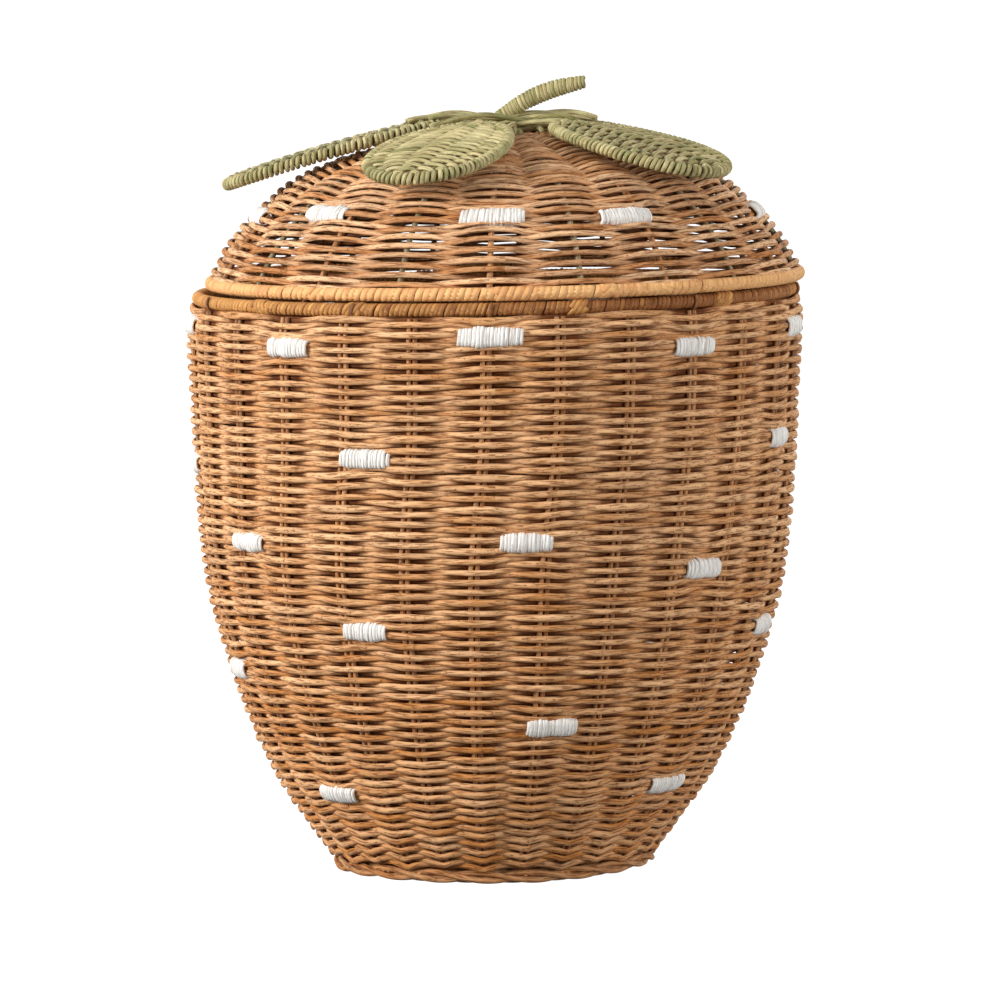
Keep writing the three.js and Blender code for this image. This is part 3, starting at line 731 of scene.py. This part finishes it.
# %% [markdown]
# ## The wrapped rims
# Each rim is a thick cane ring bound with flat, glossy peel, 3 to 4 mm wide. Stripes in a material would
# leave its edge smooth, so the peel is wound. With some three hundred turns a rim, a turn has only ten
# steps of six sides. Here and there a second layer laps over the first.

# %% Rims
# Where the painted shadow of the lid rim on the basket rim is darkest.
RIM_SHADOW_TURN = np.radians(35)
RING_FLATS = np.radians(12)
RIM_POINTS = 240


def rim(name, hoop_node, wrap_node, body, seed, peel, pitch, slant, peel_deep, peel_wide, laps, square=1.4,
        darkened=0.0):
    """A cane hoop, its binding, and short second layers of peel.

    laps lists where each layer starts, in degrees, its number of turns, and its slant in parts of a turn.
    A painted shadow of the lid rim makes the peel darker by darkened * cos(turn - RIM_SHADOW_TURN)**1.5
    where that is above 0. The model's ring has flat sides, so half its height is only cos(RING_FLATS) of
    its radius.
    """
    rng = np.random.default_rng(seed)
    low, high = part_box(wrap_node)
    outer = (high.z - low.z) / 2 / np.cos(RING_FLATS)
    low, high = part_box(hoop_node)
    middle, level = (low.x + high.x) / 2, (low.z + high.z) / 2
    radius = (high.x - low.x) / 2 - (high.z - low.z) / 2
    turn = np.linspace(0, TURN, RIM_POINTS, endpoint=False)
    guide = around(radius, turn, level, middle)
    turns = round(TURN * radius / pitch)
    reach = outer - peel_deep
    rings, names = wound(guide, UP, turns, reach, peel_deep, peel_wide, rng, closed=True, slip=0.11,
                         square=square, slant=slant / (TURN * radius))
    # Painted shadow of the lid rim on the peel, darkest 35 degrees right of the front.
    rim_shadow = np.maximum(np.cos(np.linspace(0, TURN, len(names)) - RIM_SHADOW_TURN), 0) ** 1.5
    wrap = skin(name + "_peel", rings, peel, True, 0.55 * names + darkened * rim_shadow)
    fit(wrap, body, "rattan_peel", wrap_node)
    for lap, (start, lap_turns, lap_slant) in enumerate(laps):
        lap_turn = np.radians(start) + np.linspace(0, 1, 12) * lap_turns * pitch * 1.1 / radius
        rings, names = wound(around(radius, lap_turn, level, middle), UP, lap_turns, reach + 0.8 * peel_deep,
                             peel_deep, peel_wide, rng, steps=16, slip=0.1, slant=lap_slant / lap_turns)
        fit(skin(f"{name}_lap_{lap + 1}", rings, peel, tint=names), body, "rattan_peel")
    core = sweep(guide[None], around(1.0, turn, 0.0)[None], reach - peel_deep, reach - peel_deep, 10,
                 closed=True)
    # The hoop's cane, seen between the turns of peel, gets a painted shade.
    fit(skin(name + "_cane", core, stake_cane, True, dive=0.6), body, "rattan_stakes", hoop_node)
    print(name, turns, "turns")


BASKET_LAPS = ((46, 4, 1.0), (-29, 3, 0.8), (-52, 4, -0.7), (14, 3, 0.9), (-170, 5, 0.8), (110, 4, -0.8))
LID_LAPS = ((33, 4, 0.2), (18.5, 1.5, 1.0), (19, 1.5, -1.0), (-2, 5, 0.2), (-40, 2, 0.4), (140, 4, 0.2),
            (-120, 3, 0.5))
rim("basket_rim", "body_rim_hoop", "body_rim_wrap", "basket", 11, ochre_peel, pitch=3.1 * MM, slant=0.7 * MM,
    peel_deep=0.85 * MM, peel_wide=1.62 * MM, laps=BASKET_LAPS, darkened=0.74)
rim("lid_rim", "lid_rim_hoop", "lid_rim_wrap", "lid", 12, honey_peel, pitch=4.3 * MM, slant=0.4 * MM,
    peel_deep=0.4 * MM, peel_wide=2.35 * MM, laps=LID_LAPS, square=2.6)

# %% [markdown]
# ## Stake ends
# Some flat ends of the real stakes are bent up round the hoop from under it. Carrying every stake on
# would crowd the rim, so every third pair gets an end of its own, an arc round the hoop:
# radius + reach * cos(slope), height + reach * sin(slope).

# %% Stake ends
STAKE_END = 2.5 * MM
STAKE_END_START, STAKE_END_BEND = -115, 160

rim_low, rim_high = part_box("body_rim_wrap")
thick, level = (rim_high.z - rim_low.z) / 2, (rim_high.z + rim_low.z) / 2
radius = (rim_high.x - rim_low.x) / 2 - thick
share = np.linspace(0, 1, 14)
slope = np.radians(STAKE_END_START + STAKE_END_BEND * share)
reach = thick + 0.4 * STAKE_END
end_turns = pair_turns[::3] + side_rng.normal(0, 0.012, len(pair_turns[::3]))
aside = 0.02 * side_rng.normal(0, 1, (len(end_turns), 1)) * share
paths = np.array([around(radius + reach * np.cos(slope), turn + a, level + reach * np.sin(slope))
                  for turn, a in zip(end_turns, aside)])
lean = np.array([around(np.cos(slope), turn, np.sin(slope)) for turn in end_turns])
# The stake ends get a painted shade.
stake_ends = skin("stake_ends", sweep(paths, lean, 0.35 * STAKE_END, STAKE_END / 2, 6), stake_cane,
                  tint=side_rng.uniform(0.3, 1, len(end_turns)), dive=0.35)
fit(stake_ends, "basket", "rattan_stakes")

# %% [markdown]
# ## The lid's dome
# The dome is woven like the side, but looser and over twenty single ribs, so the same function does it
# with other values. Every second rib is stained green. Near the crown the ribs come close, so the rows
# swing less.

# %% Lid rows
LID_STRAND = 3.8 * MM
LID_PITCH = 3.25 * MM
RIBS = 20
RIB = 3.6 * MM
RIB_PHASE = np.radians(-3)
CROWN_HOLE = 9 * MM
CROWN_CALM = 70 * MM

lid_rng = np.random.default_rng(21)
lid_deep, lid_wide = 0.4 * LID_STRAND, 0.51 * LID_STRAND
lid_swing = lid_deep + 0.45 * RIB
lid_inset = lid_deep + lid_swing
lid_rows = round(smooth_line(lid_outline, 2)[1] / LID_PITCH)
lid_line = inset_line(lid_outline, lid_rows, lid_inset)
lid_line = lid_line[lid_line[:, 0] > CROWN_HOLE]
lid_rows = len(lid_line)
near_crown = np.clip(lid_line[:, :1] / CROWN_CALM, 0.35, 1)
# The lid rows also come with how far they lie behind the ribs, which the material paints as shade.
lid_rings, lid_dive = woven(
    lid_line, RIBS, RIB_PHASE, lid_swing * near_crown, lid_deep, lid_wide, LID_PITCH, lid_rng,
    middle=lid_middle, steps=9, wobble=0.45 * MM, loose=0.6, bound=dome_seeds.values())
dome = skin("woven_dome", lid_rings, lid_cane, True, lid_rng.uniform(0, 1, lid_rows), lid_dive)
fit(dome, "lid", "woven_rattan", "lid_weave")
print(lid_rows, "lid rows")

# %% Lid ribs
RIB_END = 6 * MM

rib_line = inset_line(lid_outline, 40, lid_inset)
rib_line = rib_line[rib_line[:, 0] > RIB_END]
rib_turns = RIB_PHASE + TURN * np.arange(RIBS)[:, None] / RIBS
rib_normal = outward(rib_line)
rib_paths = around(rib_line[:, 0], rib_turns, rib_line[:, 1], lid_middle)
rib_lean = around(rib_normal[:, 0], rib_turns, rib_normal[:, 1])
rib_rings = sweep(rib_paths, rib_lean, RIB / 2, RIB / 2, 8)
plain_ribs = skin("dome_ribs_plain", rib_rings[0::2], stake_cane, tint=lid_rng.uniform(0, 1, RIBS // 2))
fit(plain_ribs, "lid", "rattan_stakes", "lid_ribs")
green_ribs = skin("dome_ribs_green", rib_rings[1::2], grey_green_cane, tint=lid_rng.uniform(0, 1, RIBS // 2))
fit(green_ribs, "lid", "rattan_stakes")


# %% [markdown]
# ## The white seeds
# A seed is white paper cord wound about fifteen times round two rows, right through the wall. A white
# block with grooves would float on the wall. So the cord is wound too, round a short arc in the wall's
# middle, and the coil is a flattened oval, higher than it is deep.

# %% Seeds
SEED_PITCH = 2.3 * MM
SEED_DEEP = 0.95 * MM
SEED_WIDE = 1.32 * MM
SEED_STEPS = 14
SEED_START = 2.2
SEED_PINCH = 0.26


def seed(node, turn, level, body, outline, inset, middle, rng):
    """One winding: guide + out * deep * cos(phase)**0.7 + above * high * sin(phase)**0.7, signs kept.

    The coil is up to SEED_PINCH slimmer at its ends. The seed in front under the rim is longer.
    """
    fine, _ = smooth_line(outline, 400)
    k = np.argmin(np.abs(fine[:, 1] - level))
    normal = outward(fine)[k]
    out = around(normal[0], turn, normal[1])
    core = fine[k] - normal * (inset - SEED_OUT)
    long = abs(turn) < 0.12 and level > 0.3
    length = SEED_LENGTH * (LONG_SEED if long else rng.uniform(0.92, 1.04) + (0.14 if body == "lid" else 0))
    sweep_turn = np.linspace(-0.5, 0.5, 16) * (length - 2 * SEED_WIDE) / fine[k, 0]
    guide = around(core[0], turn + sweep_turn, core[1], middle)
    turns = round(length / SEED_PITCH)
    share = np.arange(turns * SEED_STEPS + 1) / (turns * SEED_STEPS)
    knots = np.arange(turns + 2)
    phase = TURN * share * turns + SEED_START
    slips = np.interp(share * turns, knots, rng.normal(0, 0.17, turns + 2)) / turns
    place, heading = along_line(guide, share + slips, False)
    above = np.cross(out, heading)
    swell = 1 + np.interp(share * turns, knots, rng.normal(0, 0.075, turns + 2))
    end_pinch = 1 - SEED_PINCH * np.abs(2 * share - 1) ** 5
    high = ((SEED_HEIGHT / 2 - SEED_DEEP) * swell * end_pinch)[:, None]
    deep = (SEED_REACH * swell * end_pinch)[:, None]
    cos, sin = (np.sign(f) * np.abs(f) ** 0.7 for f in (np.cos(phase), np.sin(phase)))
    lift = out * deep * cos[:, None] + above * high * sin[:, None]
    lean = out * cos[:, None] / deep + above * sin[:, None] / high
    names = rng.uniform(0, 1, turns + 1)[np.minimum((share * turns).astype(int), turns)]
    rings = sweep((place + lift)[None], unit(lean)[None], SEED_DEEP, SEED_WIDE, 8)
    fit(skin("white_" + node, rings, white_paper, tint=names), body, "white_cord", node)


seed_rng = np.random.default_rng(31)
for node, (turn, level) in side_seeds.items():
    seed(node, turn, level, "basket", wall_outline, wall_inset, 0.0, seed_rng)
for node, (turn, level) in dome_seeds.items():
    seed(node, turn, level, "lid", lid_outline, lid_inset, lid_middle, seed_rng)

# %% [markdown]
# ## The leaves
# A leaf is a bound rod bent to an egg shape, three ribs along it, and thin strands woven across them. One
# leaf could be copied five times, but each hangs in its own way, so its plane and size are measured on
# its frame in the model, and it has its own random numbers.

# %% Measure a leaf
LEAF_TAPER = 0.2
LEAF_ROD = 8.0 * MM
LEAF_ARCH = 2.6 * MM
LEAF_TRIMS = {"right": (14, 7, 5), "front_left": (9, 6, 2), "left": (6, -6, 1), "back_left": (9, 3, 2),
              "back_right": (9, 24, 6)}


def leaf_plane(name):
    """Middle, length axis pointing outwards, width axis, upward normal, half length and half width.

    The axes are the singular vectors of the frame's points: the ways in which they spread most, less and
    least. LEAF_TRIMS says in mm what the photograph cuts off root and tip, and how much it lowers the tip.
    """
    root_cut, tip_cut, drop = (MM * cut for cut in LEAF_TRIMS[name])
    points = np.unique(np.round(node_points("leaf_frame_" + name), 6), axis=0)
    middle = (points.max(0) + points.min(0)) / 2
    axes = np.linalg.svd(points - points.mean(0))[2]
    normal = axes[2] * np.sign(axes[2][2])
    out = np.array([middle[0] - lid_middle, middle[1], 0.0])
    length = axes[0] * np.sign(np.dot(axes[0], out))
    width = np.cross(normal, length)
    reach, spread, _ = (points @ np.stack([length, width, normal]).T).T
    centre = length * (reach.max() + reach.min()) / 2 + width * (spread.max() + spread.min()) / 2
    centre = centre + normal * np.dot(points.mean(0), normal) + length * (root_cut - tip_cut) / 2
    long = (np.ptp(reach) - LEAF_ROD - root_cut - tip_cut) / 2
    broad = (np.ptp(spread) - LEAF_ROD) / 2
    centre = centre - normal * drop / 2
    length = unit(length - normal * drop / (2 * long))
    normal = np.cross(length, width)
    return centre, length, width, normal, long, broad


# %% Make the leaves
ROD_POINTS = 90
ROD_STRAND = 3.0 * MM
ROD_INSIDE, WEB_INSIDE = 0.965, 0.95
WEB_STRAND = 3.1 * MM
WEB_PITCH = 3.8 * MM
WEB_ARCH = 9.0 * MM
WEB_SLIP = 0.4 * MM
WEB_WAVE, WEB_LIFT, WEB_CROWN, WEB_DROP = 1.1 * MM, 2.2 * MM, 1.0 * MM, 0.8 * MM
RIB_SHARES = (-0.45, 0.0, 0.45)
LEAF_RIB_LIFT = 2.0 * MM
LEAF_RIB_SIZE = (0.9 * MM, 1.3 * MM)


def green(name, rings, *nodes, **look):
    """A piece of stained cane on the lid."""
    fit(skin(name, rings, sage_cane, **look), "lid", "green_rattan", *nodes)


def egg(turn, long, broad):
    """Egg outline: long * cos, broad * sin * (1 + taper * cos). At turn arccos(x / long) its second part
    is half the leaf's width at x."""
    return long * np.cos(turn), broad * np.sin(turn) * (1 + LEAF_TAPER * np.cos(turn))


def on_leaf(plane, x, y, z=0.0):
    """A point of the leaf's plane, which is arched by LEAF_ARCH * (1 - (x / long)**2)."""
    centre, length, width, normal, long, _ = plane
    x, y, z = (np.asarray(v)[..., None] for v in np.broadcast_arrays(x, y, z))
    arch = LEAF_ARCH * (1 - np.minimum((x / long) ** 2, 1))
    return centre + length * x + width * y + normal * (z + arch)


def leaf_frame(name, plane, rng):
    """The bent rod and the strand wound round it."""
    normal, long, broad = plane[3:]
    turn = np.linspace(0, TURN, ROD_POINTS, endpoint=False)
    guide = on_leaf(plane, *egg(turn, long, broad * ROD_INSIDE))
    around_leaf = np.linalg.norm(np.diff(guide, axis=0, append=guide[:1]), axis=1).sum()
    turns = round(around_leaf / (ROD_STRAND * 1.17))
    reach = (LEAF_ROD - ROD_STRAND) / 2 + 0.1 * MM
    rings, names = wound(guide, normal, turns, reach, 0.48 * ROD_STRAND, 0.5 * ROD_STRAND, rng, closed=True,
                         steps=12, sides=8, slip=0.11, square=1.0)
    green("leaf_binding_" + name, rings, "leaf_frame_" + name, closed=True, tint=names)
    core = sweep(guide[None], normal, reach - 0.4 * ROD_STRAND, reach - 0.4 * ROD_STRAND, 8, closed=True)
    # The rod's core, seen between the turns, is painted in full shade.
    green("leaf_rod_" + name, core, closed=True, dive=1.0)


def leaf_filling(name, plane, rng):
    """Strands woven across three ribs, with their ends nearer the leaf's tip. far is 0 in the leaf's
    middle and 1 at the rod."""
    normal, long, broad = plane[3:]
    rows = int(2 * long / WEB_PITCH) - 1
    place = np.linspace(-long, long, rows + 2)[1:-1, None]
    across = np.linspace(-1, 1, 37)[None, :]
    far = np.abs(across)
    parity = np.pi * (np.arange(rows) % 2)[:, None]
    wave = np.sin(np.pi / 2 * np.cos(across / (RIB_SHARES[2] - RIB_SHARES[1]) * np.pi + parity))
    fade = np.clip((1 - far) / 0.15, 0, 1)
    arch = WEB_ARCH * far**1.3 * np.sqrt(1 - (place / long) ** 2)
    x = np.clip(place + arch + WEB_SLIP * rng.normal(0, 1, (rows, 1)), -long, 0.995 * long)
    edge = egg(np.arccos(x / long), long, broad * WEB_INSIDE)[1]
    z = WEB_WAVE * wave * fade + WEB_LIFT + WEB_CROWN * (1 - far) ** 2 - WEB_DROP * far**8
    wide = 0.54 * WEB_STRAND * (1 + 0.08 * rng.normal(0, 1, (rows, 1)))
    web_rings = sweep(on_leaf(plane, x, across * edge, z), normal, 0.4 * WEB_STRAND, wide, 6)
    # Painted shade where a strand dips under a rib.
    green("leaf_weaving_" + name, web_rings, "leaf_web_" + name, tint=rng.uniform(0, 1, rows),
          dive=np.clip(-0.8 * wave * fade, 0, 1))

    x = np.linspace(-long, long, 40)
    edge = egg(np.arccos(np.clip(x / long, -1, 1)), long, broad)[1]
    paths = np.array([on_leaf(plane, x, share * edge, LEAF_RIB_LIFT) for share in RIB_SHARES])
    rib_rings = sweep(paths, normal, *LEAF_RIB_SIZE, 6)
    green("leaf_ribs_" + name, rib_rings, tint=rng.uniform(0, 1, len(RIB_SHARES)))


for number, name in enumerate(LEAF_TRIMS):
    plane = leaf_plane(name)
    leaf_rng = np.random.default_rng(41 + number)
    leaf_frame(name, plane, leaf_rng)
    leaf_filling(name, plane, leaf_rng)

# %% [markdown]
# ## Crown and stem
# Green strands cross over the leaves' roots and tie them down. A woven patch would be too tidy, so each
# is a bent arc in one of four layers. Each third is shorter, lies lowest and crosses the others, which
# run from left to right. The stem is a bent cane, bound like the leaf rods.

# %% Crown
CROWN_STRANDS = 27
CROWN_REACH = 56 * MM
CROWN_SIZE = (1.6 * MM, 1.7 * MM)
CROWN_TOP, CROWN_LAYER = 4.6, 2.6  # mm
CROWN_FALL, CROWN_WAVE, CROWN_DIP = 4.0 * MM, 1.4 * MM, 2.8 * MM

crown_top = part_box("crown_patch")[1].z
crown_middle = lid_middle - 1.5 * MM
crown_rng = np.random.default_rng(61)

share = np.linspace(-1, 1, 30)
paths = []
for k in range(CROWN_STRANDS):
    crosses = k % 3 == 0
    turn = crown_rng.uniform(0.6, 2.5) if crosses else crown_rng.normal(0, 0.38)
    reach = (0.62 * CROWN_REACH if crosses else CROWN_REACH) * crown_rng.uniform(0.8, 1.05)
    beside, slope = crown_rng.uniform(-15, 15) * MM, crown_rng.normal(0, 1.4) * MM
    layer = (CROWN_TOP - CROWN_LAYER * (3 if crosses else k % 4)) * MM
    height = crown_top + layer + slope * share - CROWN_FALL * share**4
    height = height + CROWN_WAVE * np.sin(share * 5 + 2.4 * k) - CROWN_DIP * np.exp(-(share / 0.35) ** 2)
    bend = beside * np.cos(share * 1.5 + slope / MM)
    x = crown_middle + reach * share * np.cos(turn) - bend * np.sin(turn)
    y = reach * share * np.sin(turn) + bend * np.cos(turn)
    paths.append(np.stack([x, y, height], -1))
crown_rings = sweep(np.array(paths), UP, *CROWN_SIZE, 8)
green("crown_crossing", crown_rings, "crown_patch", tint=crown_rng.uniform(0, 1, CROWN_STRANDS))

# %% Stem
STEM_SHARES = np.array([[-0.03, -0.14], [0.34, 0.46], [0.64, 0.78], [1.0, 1.0]])
STEM_START = np.array([1.0, 2.6]) * MM
STEM_INSET = np.array([1.5, 6.2]) * MM
STEM_POINTS = 60
STEM_TURNS = 25
STEM_DEEP, STEM_WIDE = 1.5 * MM, 1.4 * MM
BACKWARDS = np.array([0.0, 1.0, 0.0])

stem_low, stem_high = (np.array([corner.x, corner.z]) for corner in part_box("stem_cane"))
stem_span = stem_high - stem_low - STEM_INSET
stem_line, _ = smooth_line(STEM_SHARES * stem_span + (stem_low + STEM_START), STEM_POINTS)
stem_guide = np.stack([stem_line[:, 0], np.zeros(STEM_POINTS), stem_line[:, 1]], -1)
stem_rng = np.random.default_rng(71)


def stem_reach(share):
    """Thin at its foot, thickest in the middle, and a little thinner at its tip."""
    return (2.7 + 1.4 * np.sin(np.pi * share) + 0.3 * share - 0.5 * share**12) * MM


stem_rings, stem_names = wound(stem_guide, BACKWARDS, STEM_TURNS, stem_reach, STEM_DEEP, STEM_WIDE,
                               stem_rng, steps=14, sides=8, slip=0.13, square=1.0, slant=0.01)
green("stem_binding", stem_rings, "stem_wrap", tint=stem_names)
core_reach = stem_reach(np.linspace(0, 1, STEM_POINTS)) - 0.7 * MM
stem_core = sweep(stem_guide[None], BACKWARDS, core_reach, core_reach, 10)
# The stem's core, seen between the turns, is painted in full shade.
green("stem_cane_inside", stem_core, "stem_cane", dive=1.0)

# %% [markdown]
# ## Floor and light
# The photograph has a white ground and a soft shadow. A plain white floor turns grey away from the lamps
# and throws too much light up. So the floor glows to look at and lights like a dark grey, and the world
# is white to look at and dim as a light. The main lamp is on the left and in front.

# %% Floor and world
FLOOR_SIZE = 60.0
FLOOR_DROP = 0.5 * MM
FLOOR_GLOW = 0.7
GLOW_STRENGTH = 1.45
FLOOR_LIGHTING, FLOOR_SEEN = (0.14, 0.14, 0.14, 1), (0.8, 0.8, 0.8, 1)
WORLD_LIGHTING, WORLD_SEEN = 0.34, 1.06
WHITE = (1, 1, 1, 1)


def own_tree(owner):
    """An emptied node tree, and a socket in it: 1 for rays from the camera, off a gloss or through glass,
    and 0 for those that carry light on."""
    owner.use_nodes = True
    tree = owner.node_tree
    tree.nodes.clear()
    rays = add(tree, "ShaderNodeLightPath").outputs
    seen = sums(tree, "MAXIMUM", rays["Is Glossy Ray"], rays["Is Transmission Ray"])
    return tree, sums(tree, "MAXIMUM", rays["Is Camera Ray"], seen)


bpy.ops.mesh.primitive_plane_add(size=FLOOR_SIZE, location=(0, 0, -FLOOR_DROP))
floor = bpy.context.object
floor.name = "floor"
ground = bpy.data.materials.new("white_ground")
tree, seen = own_tree(ground)
grey = mixed(tree, seen, FLOOR_LIGHTING, FLOOR_SEEN)
matt = add(tree, "ShaderNodeBsdfDiffuse", {"Color": grey}).outputs[0]
glow = add(tree, "ShaderNodeEmission", {"Color": WHITE, "Strength": GLOW_STRENGTH}).outputs[0]
share = sums(tree, "MULTIPLY", seen, FLOOR_GLOW)
both = add(tree, "ShaderNodeMixShader", {0: share, 1: matt, 2: glow})
add(tree, "ShaderNodeOutputMaterial", {0: both.outputs[0]})
floor.data.materials.append(ground)

world = bpy.data.worlds.new("studio")
bpy.context.scene.world = world
tree, seen = own_tree(world)
soft, white = (add(tree, "ShaderNodeBackground", {"Color": WHITE, "Strength": strength}).outputs[0]
               for strength in (WORLD_LIGHTING, WORLD_SEEN))
both = add(tree, "ShaderNodeMixShader", {0: seen, 1: soft, 2: white})
add(tree, "ShaderNodeOutputWorld", {0: both.outputs[0]})

# %% Lamps
LAMP_AIM = Vector((0, 0, 0.25))
LAMPS = {"key": ((-2.8, -1.4, 1.25), 1.4, 128), "fill": ((2.7, -2.0, 0.8), 1.8, 62),
         "top": ((0.2, 0.2, 2.5), 1.2, 4), "back": ((0.6, 2.8, 1.2), 1.6, 16)}

for name, (place, size, watts) in LAMPS.items():
    lamp = bpy.data.lights.new(name, "AREA")
    lamp.shape, lamp.size, lamp.energy = "DISK", size, watts
    aimed(name, lamp, Vector(place), LAMP_AIM)
print(len(LAMPS), "lamps")
